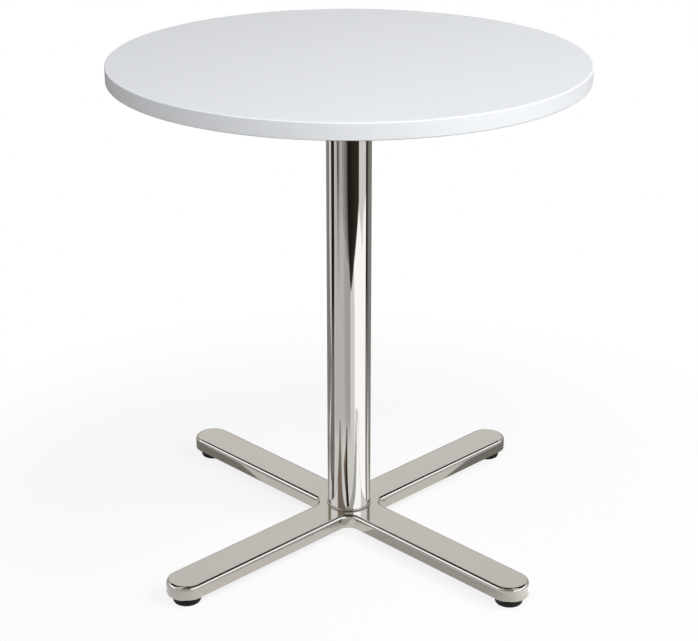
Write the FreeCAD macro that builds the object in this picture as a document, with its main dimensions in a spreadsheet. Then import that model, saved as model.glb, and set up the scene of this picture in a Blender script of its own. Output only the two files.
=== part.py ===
import FreeCAD, Part
import math
import os
import re
import Sketcher

# A round cafe table: a laminated top on a four-arm bracket, a polished column, and an X-shaped base
# casting that stands on four levelling feet. A rod through the column clamps bracket, tube and base.
# The origin is on the floor under the centre of the column, with +Z up. Legs lie along X and Y.

# Driving sizes, in millimetres.
SIZES = {
    # overall
    "table_height": 760,
    "top_diameter": 700,
    # top: board, a sheet on each face, and a band round the rim
    "core_thickness": 22,
    "laminate_thickness": 0.8,
    "band_thickness": 2,
    "band_arris_radius": 1.5,
    # column tube
    "column_diameter": 68,
    "column_wall": 2,
    "column_end_chamfer": 0.5,
    "slip_clearance": 0.15,
    # X base
    "leg_width": 60,
    "leg_thickness": 21.5,
    "foot_circle_radius": 337,
    "hub_corner_radius": 18,
    "leg_upper_edge_radius": 6,
    "leg_lower_edge_radius": 1.5,
    "leg_wall": 5,
    "leg_skin": 6,
    "leg_rib_thickness": 4,
    "leg_rib_recess": 3,
    "foot_boss_diameter": 30,
    "hub_boss_diameter": 90,
    "column_seat_depth": 3,
    "column_seat_chamfer": 0.6,
    "spigot_height": 14,
    "spigot_wall": 6,
    # tie rod, nuts and washers
    "rod_diameter": 10,
    "rod_clearance": 0.25,
    "rod_end_length": 2,
    "rod_end_gap": 1,
    "rod_end_chamfer": 1,
    "nut_width": 16,
    "nut_height": 8.4,
    "washer_diameter": 30,
    "washer_thickness": 2.5,
    "nut_pocket_clearance": 2,
    "thread_clearance": 0.05,
    # four-arm bracket
    "spider_hub_diameter": 90,
    "spider_hub_height": 26,
    "spider_hub_edge_radius": 3,
    "spider_socket_depth": 10,
    "spider_plate_thickness": 6,
    "spider_arm_root_width": 46,
    "spider_arm_tip_width": 30,
    "spider_rib_thickness": 8,
    "spider_rib_depth": 15,
    "spider_rib_end_gap": 14,
    "outer_screw_radius": 180,
    "screw_spacing": 28,
    # wood screws
    "screw_diameter": 5,
    "screw_length": 20,
    "screw_point_length": 4,
    "screw_head_diameter": 10,
    "screw_head_height": 3.2,
    "screw_head_chamfer": 1,
    "screw_hole_clearance": 0.25,
    # levelling feet
    "pad_diameter": 42,
    "pad_sole_diameter": 41,
    "pad_height": 15.2,
    "pad_skirt_height": 6,
    "pad_sole_edge_radius": 2.5,
    "pad_floor": 4,
    "pad_clearance": 0.3,
    "stud_diameter": 8,
    "stud_flange_diameter": 22,
    "stud_flange_thickness": 3,
    "stud_engagement": 15,
    "stud_end_chamfer": 1,
    "stud_hole_spare": 1.5,
    "turning_clearance": 0.05,
    # how far a cut starts outside the face that it opens
    "cut_overrun": 1,
}

# Heights and radii that follow from the driving sizes.
DERIVED = {
    "leg_bottom": "pad_height + pad_clearance",
    "leg_top": "leg_bottom + leg_thickness",
    "leg_half_width": "leg_width / 2",
    "cavity_half_width": "leg_half_width - leg_wall",
    "cavity_depth": "leg_thickness - leg_skin",
    "rib_bottom": "leg_bottom + leg_rib_recess",
    "rib_length": "cavity_depth - leg_rib_recess",
    "foot_boss_edge": "foot_circle_radius - foot_boss_diameter / 2",
    "hub_boss_edge": "hub_boss_diameter / 2",
    "column_radius": "column_diameter / 2",
    "column_bore_radius": "column_radius - column_wall",
    "column_bottom": "leg_top - column_seat_depth",
    "column_top": "spider_bottom + spider_socket_depth",
    "spigot_radius": "column_bore_radius - slip_clearance",
    "socket_radius": "column_radius + slip_clearance",
    "top_bottom": "table_height - core_thickness - laminate_thickness * 2",
    "core_bottom": "top_bottom + laminate_thickness",
    "core_top": "core_bottom + core_thickness",
    "core_radius": "top_diameter / 2 - band_thickness",
    "spider_bottom": "top_bottom - spider_hub_height",
    "plate_bottom": "top_bottom - spider_plate_thickness",
    "inner_screw_radius": "outer_screw_radius - screw_spacing",
    "spider_rib_end": "inner_screw_radius - spider_rib_end_gap",
    "nut_pocket_radius": "washer_diameter / 2 + nut_pocket_clearance",
    "base_pocket_depth": "washer_thickness + nut_height",
    "spider_pocket_depth": "washer_thickness + nut_height + rod_end_length + rod_end_gap",
    "spider_floor": "top_bottom - spider_pocket_depth",
    "base_ceiling": "leg_bottom + base_pocket_depth",
    "rod_hole_radius": "rod_diameter / 2 + rod_clearance",
    "thread_hole_radius": "rod_diameter / 2 + thread_clearance",
    "rod_bottom": "leg_bottom - rod_end_length",
    "rod_top": "top_bottom - rod_end_gap",
    "pilot_radius": "screw_diameter / 2 + thread_clearance",
    "pilot_depth": "screw_length - spider_plate_thickness + cut_overrun",
    "flange_bottom": "pad_floor + turning_clearance",
    "flange_top": "flange_bottom + stud_flange_thickness",
    "stud_top": "leg_bottom + stud_engagement",
}

LEG_COUNT = 4
QUARTER_TURN = 360 / LEG_COUNT
CROSS_RIB_COUNT = 3
NUT_SIDES = 6
FULL_TURN = 360

# Seen from the photograph's side, between the +X and the -Y leg.
FOOT_ANGLES = {"front_right": 0, "back_right": 90, "back_left": 180, "front_left": 270}

doc = FreeCAD.newDocument("CafeTable")
sheet = doc.addObject("Spreadsheet::Sheet", "Sizes")
for row, (alias, millimetres) in enumerate(SIZES.items(), start=1):
    sheet.set(f"A{row}", alias)
    sheet.set(f"B{row}", str(millimetres))
    sheet.setAlias(f"B{row}", alias)
doc.recompute()


def formula(text):
    """Write a sum of named sizes as an expression on the sheet's cells."""
    def cell(match):
        word = match[0]
        if word in DERIVED:
            return f"({formula(DERIVED[word])})"
        return f"Sizes.{word}" if word in SIZES else word
    return re.sub(r"[a-z]+(?:_[a-z]+)*", cell, text)


def number(text):
    """The value of a sum of named sizes."""
    return float(sheet.evalExpression(formula(text)))


def bind(feature, target, text):
    feature.setExpression(target, formula(text))


def point(across, up):
    return FreeCAD.Vector(number(across), number(up), 0)


# Sketches

def origin_feature(body, role):
    return next(feature for feature in body.Origin.OriginFeatures if feature.Role == role)


def sketch_on(body, role, name):
    sketch = body.newObject("Sketcher::SketchObject", name)
    sketch.AttachmentSupport = [(origin_feature(body, role), "")]
    sketch.MapMode = "FlatFace"
    return sketch


def plan(body, name, height):
    """A level sketch at a height above the floor."""
    sketch = sketch_on(body, "XY_Plane", name)
    bind(sketch, "AttachmentOffset.Base.z", height)
    return sketch


def section(body, name):
    """An upright sketch through the Z axis: across is X, up is Z."""
    return sketch_on(body, "XZ_Plane", name)


def constrain(sketch, kind, *targets, text):
    index = sketch.addConstraint(Sketcher.Constraint(kind, *targets, number(text)))
    bind(sketch, f"Constraints[{index}]", text)


def pin_point(sketch, line, end, across, up):
    """Hold one point of a line, arc or circle at its place from the sketch's origin."""
    constrain(sketch, "DistanceX", -1, 1, line, end, text=across)
    constrain(sketch, "DistanceY", -1, 1, line, end, text=up)


def outline(sketch, corners):
    """A closed outline of straight lines through corners given as sums of named sizes."""
    places = [point(*corner) for corner in corners]
    following = places[1:] + places[:1]
    lines = [sketch.addGeometry(Part.LineSegment(a, b)) for a, b in zip(places, following)]
    for line, after, corner in zip(lines, lines[1:] + lines[:1], corners):
        sketch.addConstraint(Sketcher.Constraint("Coincident", line, 2, after, 1))
        pin_point(sketch, line, 1, *corner)


def box_outline(sketch, left, right, low, high):
    outline(sketch, [(left, low), (right, low), (right, high), (left, high)])


def circle(sketch, radius, across="0", up="0"):
    shape = Part.Circle(point(across, up), FreeCAD.Vector(0, 0, 1), number(radius))
    ring = sketch.addGeometry(shape)
    pin_point(sketch, ring, 3, across, up)
    constrain(sketch, "Radius", ring, text=radius)


def tongue(sketch, root_half_width, reach, end_radius):
    """A tongue from the centre line out along X, whose sides run into a full-round end."""
    lower_root = point("0", f"-({root_half_width})")
    upper_root = point("0", root_half_width)
    end_centre = point(reach, "0")
    lower_end = point(reach, f"-({end_radius})")
    upper_end = point(reach, end_radius)
    end_circle = Part.Circle(end_centre, FreeCAD.Vector(0, 0, 1), number(end_radius))
    lower = sketch.addGeometry(Part.LineSegment(lower_root, lower_end))
    round_end = sketch.addGeometry(Part.ArcOfCircle(end_circle, -math.pi / 2, math.pi / 2))
    upper = sketch.addGeometry(Part.LineSegment(upper_end, upper_root))
    root = sketch.addGeometry(Part.LineSegment(upper_root, lower_root))
    sketch.addConstraint(Sketcher.Constraint("Tangent", lower, 2, round_end, 1))
    sketch.addConstraint(Sketcher.Constraint("Tangent", round_end, 2, upper, 1))
    sketch.addConstraint(Sketcher.Constraint("Coincident", upper, 2, root, 1))
    sketch.addConstraint(Sketcher.Constraint("Coincident", root, 2, lower, 1))
    pin_point(sketch, round_end, 3, reach, "0")
    pin_point(sketch, lower, 1, "0", f"-({root_half_width})")
    pin_point(sketch, upper, 2, "0", root_half_width)
    constrain(sketch, "Radius", round_end, text=end_radius)


# Features

def new_body(label):
    body = doc.addObject("PartDesign::Body", label)
    body.Label = label
    return body


def pad(body, sketch, name, length):
    feature = body.newObject("PartDesign::Pad", name)
    feature.Profile = sketch
    bind(feature, "Length", length)
    return feature


def pocket(body, sketch, name, depth, upwards=False):
    """Cut a sketch's outline down from its plane, or upwards."""
    feature = body.newObject("PartDesign::Pocket", name)
    feature.Profile = sketch
    feature.Reversed = upwards
    bind(feature, "Length", depth)
    return feature


def revolve(body, sketch, name):
    feature = body.newObject("PartDesign::Revolution", name)
    feature.Profile = sketch
    feature.ReferenceAxis = (sketch, ["V_Axis"])
    feature.Angle = FULL_TURN
    return feature


def groove(body, sketch, name):
    feature = body.newObject("PartDesign::Groove", name)
    feature.Profile = sketch
    feature.ReferenceAxis = (sketch, ["V_Axis"])
    feature.Angle = FULL_TURN
    return feature


def around(body, name, originals, count=LEG_COUNT):
    """Repeat features evenly round the Z axis."""
    feature = body.newObject("PartDesign::PolarPattern", name)
    feature.Originals = originals
    feature.Axis = (origin_feature(body, "Z_Axis"), [""])
    feature.Angle = FULL_TURN
    feature.Occurrences = count
    body.Tip = feature
    return feature


def dress_edges(body, kind, name, target, text, wanted):
    """Round or chamfer the edges of the body so far for which wanted(edge) is true."""
    doc.recompute()
    base = body.Tip
    edges = [f"Edge{i}" for i, edge in enumerate(base.Shape.Edges, start=1) if wanted(edge)]
    feature = body.newObject(kind, name)
    feature.Base = (base, edges)
    bind(feature, target, text)
    return feature


def round_edges(body, name, radius, wanted):
    return dress_edges(body, "PartDesign::Fillet", name, "Radius", radius, wanted)


def chamfer_edges(body, name, width, wanted):
    return dress_edges(body, "PartDesign::Chamfer", name, "Size", width, wanted)


def near(value, text):
    return math.isclose(value, number(text), abs_tol=1e-6)


def level_at(height):
    """Edges that lie level at a height."""
    return lambda edge: near(edge.BoundBox.ZMin, height) and near(edge.BoundBox.ZMax, height)


def ring_at(radius, *heights):
    """Round edges of a radius about the Z axis, at any of these heights."""
    def wanted(edge):
        is_round = isinstance(edge.Curve, Part.Circle) and near(edge.Curve.Radius, radius)
        return is_round and any(level_at(height)(edge) for height in heights)
    return wanted


def stand_at(body, radius, angle):
    """Place a body out from the Z axis at an angle."""
    bind(body, "Placement.Base.x", f"{radius} * cos({angle} deg)")
    bind(body, "Placement.Base.y", f"{radius} * sin({angle} deg)")


# Top

def screw_holes(body, name, radius, start, depth):
    """A pair of screw holes in line with each arm of the bracket, cut upwards."""
    sketch = plan(body, f"{name}_plan", start)
    circle(sketch, radius, across="inner_screw_radius")
    circle(sketch, radius, across="outer_screw_radius")
    holes = pocket(body, sketch, f"{name}_pair", depth, upwards=True)
    return around(body, name, [holes])


def make_top_core():
    body = new_body("top_core")
    sketch = plan(body, "core_plan", "core_bottom")
    circle(sketch, "core_radius")
    pad(body, sketch, "core_board", "core_thickness")
    reach = "pilot_depth - laminate_thickness + cut_overrun"
    screw_holes(body, "core_pilots", "pilot_radius", "core_bottom - cut_overrun", reach)
    return body


def make_top_laminate():
    body = new_body("top_laminate")
    sketch = plan(body, "laminate_plan", "core_top")
    circle(sketch, "core_radius")
    pad(body, sketch, "laminate_sheet", "laminate_thickness")
    return body


def make_backing_laminate():
    body = new_body("backing_laminate")
    sketch = plan(body, "backing_plan", "top_bottom")
    circle(sketch, "core_radius")
    pad(body, sketch, "backing_sheet", "laminate_thickness")
    depth = "laminate_thickness + cut_overrun * 2"
    screw_holes(body, "backing_pilots", "pilot_radius", "top_bottom - cut_overrun", depth)
    return body


def make_edge_band():
    body = new_body("edge_band")
    sketch = section(body, "band_section")
    box_outline(sketch, "core_radius", "top_diameter / 2", "top_bottom", "table_height")
    revolve(body, sketch, "band_strip")
    outer = ring_at("top_diameter / 2", "top_bottom", "table_height")
    round_edges(body, "band_arrises", "band_arris_radius", outer)
    return body


# Bracket under the top

def make_top_spider():
    body = new_body("top_spider")
    arm_plan = plan(body, "arm_plan", "plate_bottom")
    tongue(arm_plan, "spider_arm_root_width / 2", "outer_screw_radius", "spider_arm_tip_width / 2")
    arm = pad(body, arm_plan, "arm_plate", "spider_plate_thickness")
    rib_section = section(body, "arm_rib_section")
    rib_root = "plate_bottom - spider_rib_depth"
    corners = [("column_radius", rib_root), ("spider_rib_end", "plate_bottom"), ("column_radius", "plate_bottom")]
    outline(rib_section, corners)
    rib = pad(body, rib_section, "arm_rib", "spider_rib_thickness")
    rib.Midplane = True
    around(body, "arms", [arm, rib])
    hub_section = section(body, "hub_section")
    box_outline(hub_section, "0", "spider_hub_diameter / 2", "spider_bottom", "top_bottom")
    revolve(body, hub_section, "hub")
    round_edges(body, "hub_edge", "spider_hub_edge_radius", ring_at("spider_hub_diameter / 2", "spider_bottom"))
    socket_section = section(body, "column_socket_section")
    box_outline(socket_section, "spigot_radius", "socket_radius", "spider_bottom - cut_overrun", "column_top")
    groove(body, socket_section, "column_socket")
    pocket_plan = plan(body, "nut_pocket_plan", "top_bottom + cut_overrun")
    circle(pocket_plan, "nut_pocket_radius")
    pocket(body, pocket_plan, "nut_pocket", "spider_pocket_depth + cut_overrun")
    hole_plan = plan(body, "rod_hole_plan", "spider_bottom - cut_overrun")
    circle(hole_plan, "rod_hole_radius")
    pocket(body, hole_plan, "rod_hole", "spider_hub_height + cut_overrun", upwards=True)
    hole_radius = "screw_diameter / 2 + screw_hole_clearance"
    depth = "spider_plate_thickness + cut_overrun * 2"
    screw_holes(body, "arm_holes", hole_radius, "plate_bottom - cut_overrun", depth)
    return body


def make_screw(name, radius, angle):
    """A pan-head wood screw, driven upwards through an arm into the board."""
    body = new_body(name)
    head_bottom = "plate_bottom - screw_head_height"
    tip = "plate_bottom + screw_length"
    shank_end = "plate_bottom + screw_length - screw_point_length"
    corners = [
        ("0", head_bottom),
        ("screw_head_diameter / 2", head_bottom),
        ("screw_head_diameter / 2", "plate_bottom"),
        ("screw_diameter / 2", "plate_bottom"),
        ("screw_diameter / 2", shank_end),
        ("0", tip),
    ]
    sketch = section(body, f"{name}_section")
    outline(sketch, corners)
    revolve(body, sketch, f"{name}_turned")
    chamfer_edges(body, f"{name}_head", "screw_head_chamfer", ring_at("screw_head_diameter / 2", head_bottom))
    stand_at(body, radius, angle)
    return body


def make_spider_screws():
    screws = []
    for arm in range(LEG_COUNT):
        for radius in ("inner_screw_radius", "outer_screw_radius"):
            name = f"screw_{len(screws) + 1}"
            screws.append(make_screw(name, radius, arm * QUARTER_TURN))
    group = doc.addObject("Part::Compound", "spider_screws")
    group.Links = screws
    return group


# Column and the rod that clamps it

def make_column_tube():
    body = new_body("column_tube")
    sketch = section(body, "tube_section")
    box_outline(sketch, "column_bore_radius", "column_radius", "column_bottom", "column_top")
    revolve(body, sketch, "tube")
    ends = ring_at("column_radius", "column_bottom", "column_top")
    chamfer_edges(body, "tube_ends", "column_end_chamfer", ends)
    return body


def make_tie_rod():
    body = new_body("tie_rod")
    sketch = section(body, "rod_section")
    box_outline(sketch, "0", "rod_diameter / 2", "rod_bottom", "rod_top")
    revolve(body, sketch, "rod")
    chamfer_edges(body, "rod_ends", "rod_end_chamfer", ring_at("rod_diameter / 2", "rod_bottom", "rod_top"))
    return body


def make_washer(label, bottom):
    body = new_body(label)
    sketch = plan(body, f"{label}_plan", bottom)
    circle(sketch, "washer_diameter / 2")
    circle(sketch, "rod_hole_radius")
    pad(body, sketch, f"{label}_disc", "washer_thickness")
    return body


def make_nut(label, bottom):
    """A hexagon nut whose corners are turned down to its flats at both faces."""
    body = new_body(label)
    sketch = plan(body, f"{label}_plan", bottom)
    corner_radius = f"nut_width / 2 / cos({FULL_TURN / NUT_SIDES / 2} deg)"
    turns = [FULL_TURN / NUT_SIDES * side for side in range(NUT_SIDES)]
    corners = [(f"{corner_radius} * cos({turn} deg)", f"{corner_radius} * sin({turn} deg)") for turn in turns]
    outline(sketch, corners)
    circle(sketch, "thread_hole_radius")
    pad(body, sketch, f"{label}_block", "nut_height")
    bevel = f"({corner_radius} - nut_width / 2) / 2"
    for face, inwards in ((bottom, "+"), (f"{bottom} + nut_height", "-")):
        cut = section(body, f"{label}_bevel_section")
        foot = f"{face} {inwards} {bevel}"
        outline(cut, [("nut_width / 2", face), (corner_radius, face), (corner_radius, foot)])
        groove(body, cut, f"{label}_bevel")
    return body


# X base

def make_base_casting():
    body = new_body("base_casting")
    leg_plan = plan(body, "leg_plan", "leg_bottom")
    tongue(leg_plan, "leg_half_width", "foot_circle_radius", "leg_half_width")
    leg = pad(body, leg_plan, "leg", "leg_thickness")
    around(body, "legs", [leg])
    round_edges(body, "hub_corners", "hub_corner_radius", is_hub_corner)
    round_edges(body, "upper_edge", "leg_upper_edge_radius", level_at("leg_top"))
    round_edges(body, "lower_edge", "leg_lower_edge_radius", level_at("leg_bottom"))
    hollow_legs(body)
    add_ribs(body)
    seat_column(body)
    stud_plan = plan(body, "stud_hole_plan", "leg_bottom - cut_overrun")
    circle(stud_plan, "stud_diameter / 2 + thread_clearance", across="foot_circle_radius")
    depth = "stud_engagement + stud_hole_spare + cut_overrun"
    stud_hole = pocket(body, stud_plan, "stud_hole", depth, upwards=True)
    around(body, "stud_holes", [stud_hole])
    return body


def is_hub_corner(edge):
    """The upright edges where neighbouring legs meet."""
    centre = edge.BoundBox.Center
    upright = edge.BoundBox.ZLength > edge.BoundBox.DiagonalLength / 2
    return upright and near(abs(centre.x), "leg_half_width") and near(abs(centre.y), "leg_half_width")


def hollow_legs(body):
    """Open each leg from below, leaving walls and an upper skin, a hub and a boss for each foot."""
    cavity_plan = plan(body, "cavity_plan", "leg_bottom - cut_overrun")
    tongue(cavity_plan, "cavity_half_width", "foot_circle_radius", "cavity_half_width")
    cavity = pocket(body, cavity_plan, "cavity", "cavity_depth + cut_overrun", upwards=True)
    around(body, "cavities", [cavity])
    hub_plan = plan(body, "hub_boss_plan", "leg_bottom")
    circle(hub_plan, "hub_boss_edge")
    pad(body, hub_plan, "hub_boss", "cavity_depth")
    boss_plan = plan(body, "foot_boss_plan", "leg_bottom")
    circle(boss_plan, "foot_boss_diameter / 2", across="foot_circle_radius")
    boss = pad(body, boss_plan, "foot_boss", "cavity_depth")
    around(body, "foot_bosses", [boss])


def add_ribs(body):
    """A rib along each leg from hub to foot boss, and ribs across it, a little short of the rim."""
    half = "leg_rib_thickness / 2"
    long_plan = plan(body, "long_rib_plan", "rib_bottom")
    inner, outer = f"hub_boss_edge - {half}", f"foot_boss_edge + {half}"
    box_outline(long_plan, inner, outer, f"-{half}", half)
    long_rib = pad(body, long_plan, "long_rib", "rib_length")
    cross_plan = plan(body, "cross_rib_plan", "rib_bottom")
    wall_middle = "leg_half_width - leg_wall / 2"
    for rib in range(1, CROSS_RIB_COUNT + 1):
        spacing = f"(foot_boss_edge - hub_boss_edge) * {rib} / {CROSS_RIB_COUNT + 1}"
        middle = f"hub_boss_edge + {spacing}"
        box_outline(cross_plan, f"{middle} - {half}", f"{middle} + {half}", f"-({wall_middle})", wall_middle)
    cross_ribs = pad(body, cross_plan, "cross_ribs", "rib_length")
    around(body, "ribs", [long_rib, cross_ribs])


def seat_column(body):
    """A spigot that the tube slips over, a ring-shaped seat, and the tie rod's hole and nut pocket."""
    spigot_plan = plan(body, "spigot_plan", "leg_top")
    circle(spigot_plan, "spigot_radius")
    circle(spigot_plan, "spigot_radius - spigot_wall")
    pad(body, spigot_plan, "spigot", "spigot_height")
    seat_section = section(body, "column_seat_section")
    box_outline(seat_section, "spigot_radius", "socket_radius", "column_bottom", "leg_top + cut_overrun")
    groove(body, seat_section, "column_seat")
    chamfer_edges(body, "seat_mouth", "column_seat_chamfer", ring_at("socket_radius", "leg_top"))
    pocket_plan = plan(body, "base_pocket_plan", "leg_bottom - cut_overrun")
    circle(pocket_plan, "nut_pocket_radius")
    pocket(body, pocket_plan, "base_pocket", "base_pocket_depth + cut_overrun", upwards=True)
    hole_plan = plan(body, "base_rod_hole_plan", "leg_bottom")
    circle(hole_plan, "rod_hole_radius")
    pocket(body, hole_plan, "base_rod_hole", "leg_thickness + cut_overrun", upwards=True)


# Levelling feet

def make_foot_stud(label, angle):
    """A threaded stud with a flange that its pad is moulded round."""
    body = new_body(label)
    corners = [
        ("0", "flange_bottom"),
        ("stud_flange_diameter / 2", "flange_bottom"),
        ("stud_flange_diameter / 2", "flange_top"),
        ("stud_diameter / 2", "flange_top"),
        ("stud_diameter / 2", "stud_top"),
        ("0", "stud_top"),
    ]
    sketch = section(body, f"{label}_section")
    outline(sketch, corners)
    revolve(body, sketch, f"{label}_turned")
    chamfer_edges(body, f"{label}_end", "stud_end_chamfer", ring_at("stud_diameter / 2", "stud_top"))
    stand_at(body, "foot_circle_radius", angle)
    return body


def make_foot_pad(label, angle):
    """A round pad that narrows to its sole, with room inside for the stud's flange."""
    body = new_body(label)
    flange_room = "stud_flange_diameter / 2 + turning_clearance"
    shank_room = "stud_diameter / 2 + turning_clearance"
    room_top = "flange_top + turning_clearance"
    corners = [
        ("0", "0"),
        ("pad_sole_diameter / 2", "0"),
        ("pad_diameter / 2", "pad_skirt_height"),
        ("pad_diameter / 2", "pad_height"),
        (shank_room, "pad_height"),
        (shank_room, room_top),
        (flange_room, room_top),
        (flange_room, "pad_floor"),
        ("0", "pad_floor"),
    ]
    sketch = section(body, f"{label}_section")
    outline(sketch, corners)
    revolve(body, sketch, f"{label}_turned")
    round_edges(body, f"{label}_sole", "pad_sole_edge_radius", ring_at("pad_sole_diameter / 2", "0"))
    stand_at(body, "foot_circle_radius", angle)
    return body


def check_document():
    """Stop if a feature failed or a cut removed nothing."""
    for feature in doc.Objects:
        if "Invalid" in feature.State or "Error" in feature.State:
            raise RuntimeError(f"{feature.Name} failed: {feature.State}")
        if feature.TypeId in ("PartDesign::Pocket", "PartDesign::Groove"):
            if feature.Shape.Volume >= feature.BaseFeature.Shape.Volume:
                raise RuntimeError(f"{feature.Name} cut nothing")


def write_parts(parts):
    for part in parts:
        if part.Shape.isNull() or not part.Shape.isValid():
            raise RuntimeError(f"{part.Label} has no valid shape")
    os.makedirs("parts", exist_ok=True)
    for part in parts:
        part.Shape.exportStep(os.path.join("parts", f"{part.Label}.step"))


def main():
    parts = [
        make_top_core(),
        make_top_laminate(),
        make_backing_laminate(),
        make_edge_band(),
        make_top_spider(),
        make_spider_screws(),
        make_column_tube(),
        make_tie_rod(),
        make_washer("rod_top_washer", "spider_floor"),
        make_nut("rod_top_nut", "spider_floor + washer_thickness"),
        make_washer("rod_bottom_washer", "base_ceiling - washer_thickness"),
        make_nut("rod_bottom_nut", "leg_bottom"),
        make_base_casting(),
    ]
    for side, angle in FOOT_ANGLES.items():
        parts.append(make_foot_stud(f"{side}_foot_stud", angle))
        parts.append(make_foot_pad(f"{side}_foot_pad", angle))
    doc.recompute()
    check_document()
    write_parts(parts)


main()
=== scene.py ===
import math

import bmesh
import bpy
from bpy.props import FloatProperty, FloatVectorProperty, IntProperty, PointerProperty
from mathutils import Matrix, Vector


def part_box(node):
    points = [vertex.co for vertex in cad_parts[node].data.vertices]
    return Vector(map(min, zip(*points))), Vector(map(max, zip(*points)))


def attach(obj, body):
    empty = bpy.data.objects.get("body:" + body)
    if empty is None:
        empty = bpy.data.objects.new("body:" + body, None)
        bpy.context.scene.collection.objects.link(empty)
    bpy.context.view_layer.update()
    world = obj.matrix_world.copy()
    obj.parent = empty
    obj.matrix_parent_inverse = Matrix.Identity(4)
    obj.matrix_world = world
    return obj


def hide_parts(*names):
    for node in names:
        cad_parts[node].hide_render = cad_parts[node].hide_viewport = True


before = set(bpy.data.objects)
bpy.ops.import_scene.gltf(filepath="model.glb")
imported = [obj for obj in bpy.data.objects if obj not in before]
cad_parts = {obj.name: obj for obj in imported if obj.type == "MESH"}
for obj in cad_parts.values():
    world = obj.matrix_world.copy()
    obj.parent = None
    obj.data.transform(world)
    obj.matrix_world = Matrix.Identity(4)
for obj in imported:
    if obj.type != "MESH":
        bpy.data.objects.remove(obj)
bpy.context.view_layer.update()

bl_info = {
    "name": "Cafe Table",
    "version": (1, 0, 0),
    "blender": (4, 5, 0),
    "location": "View3D > Sidebar > Cafe Table",
    "description": "Dresses a packed cafe table with smooth pieces, finishes and a plain studio",
    "category": "Object",
}

# The CAD box, and the places that the pieces take from the CAD nodes, in metres.
BODY = "table"
FEET = ("front_right", "back_right", "back_left", "front_left")
LEG_COUNT = len(FEET)
MILLIMETRE = 0.001
MERGE_DISTANCE = 0.001 * MILLIMETRE

SHEET_LOW, SHEET_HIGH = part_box("top_laminate")
BACKING_LOW, BACKING_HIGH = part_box("backing_laminate")
BAND_LOW, BAND_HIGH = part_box("edge_band")
BRACKET_LOW, BRACKET_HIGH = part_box("top_spider")
SCREW_LOW, SCREW_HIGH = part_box("spider_screws")
COLUMN_LOW, COLUMN_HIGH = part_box("column_tube")
ROD_LOW, ROD_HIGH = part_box("tie_rod")
TOP_WASHER_LOW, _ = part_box("rod_top_washer")
_, BOTTOM_WASHER_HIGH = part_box("rod_bottom_washer")
BASE_LOW, BASE_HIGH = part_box("base_casting")
PAD_LOW, PAD_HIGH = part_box("front_right_foot_pad")
STUD_LOW, STUD_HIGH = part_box("front_right_foot_stud")
FOOT_CIRCLE = (PAD_LOW.x + PAD_HIGH.x) / 2

# Flats round what is turned.
HUB_STEPS = 96
SCREW_STEPS = 32
ROD_STEPS = 48
SEAT_STEPS = 192
BOSS_STEPS = 64
CAVITY_STEPS = 24
THREAD_STEPS = 32
FLOOR_STEPS = 96
# Flats across what is rounded.
CORNER_FLATS = 6
SHEET_EDGE_FLATS = 2
ARM_END_FLATS = 10
ARM_EDGE_FLATS = 3
RIB_EDGE_FLATS = 2
LEG_END_FLATS = 24
UPPER_EDGE_FLATS = 10
LOWER_EDGE_FLATS = 4
# Edges that turn by more than this stay sharp.
SHARP_ANGLE = math.radians(35)
# A metric thread in shares of its pitch: its depth, and where its flank starts and its crest starts and ends.
THREAD_DEPTH = 0.6134
FLANK_START, CREST_START, CREST_END = 0.25, 0.5625, 0.6875
# The floor of a screw's cross, as a share of its mouth.
CROSS_TAPER = 0.8
# The bead round the column's foot: shares of its thickness undercut and rounded, and of its height to a bend.
BEAD_UNDERCUT, BEAD_ROUNDING, BEAD_BEND = 1 / 4, 2 / 3, 1 / 8


def size(name, description, default):
    """A length given in metres."""
    return FloatProperty(
        name=name, description=description, default=default, min=0, unit="LENGTH", precision=4
    )


def length(name, description, default):
    """A length given in millimetres."""
    return size(name, description, default * MILLIMETRE)


def angle(name, description, default):
    """An angle given in degrees."""
    return FloatProperty(
        name=name, description=description, default=math.radians(default), subtype="ANGLE"
    )


def share(name, description, default):
    return FloatProperty(
        name=name, description=description, default=default, min=0, max=1, subtype="FACTOR"
    )


def level(name, description, default):
    return FloatProperty(name=name, description=description, default=default, min=0)


def colour(name, description, default):
    return FloatVectorProperty(
        name=name, description=description, default=default, min=0, max=1, size=3, subtype="COLOR"
    )


def count(name, description, default):
    return IntProperty(name=name, description=description, default=default, min=1)


class CafeTableTop(bpy.types.PropertyGroup):
    """The round top: decorative sheet, rim edging, backing sheet and board."""

    sheet_colour: colour("Sheet", "Colour of the decorative sheet", (0.79, 0.81, 0.84))
    edging_colour: colour("Edging", "Colour of the band round the rim", (0.80, 0.82, 0.845))
    backing_colour: colour("Backing", "Colour of the balancing sheet underneath", (0.05, 0.042, 0.036))
    board_colour: colour("Board", "Colour of the particle board inside", (0.47, 0.33, 0.20))
    arris_radius: length("Arris radius", "Rounding of the edging's two edges", 1.5)
    sheet_edge: length("Sheet edge", "Bevel where the sheet is trimmed to the edging", 0.15)
    rim_steps: count("Rim steps", "Flats round the rim", 320)


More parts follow.
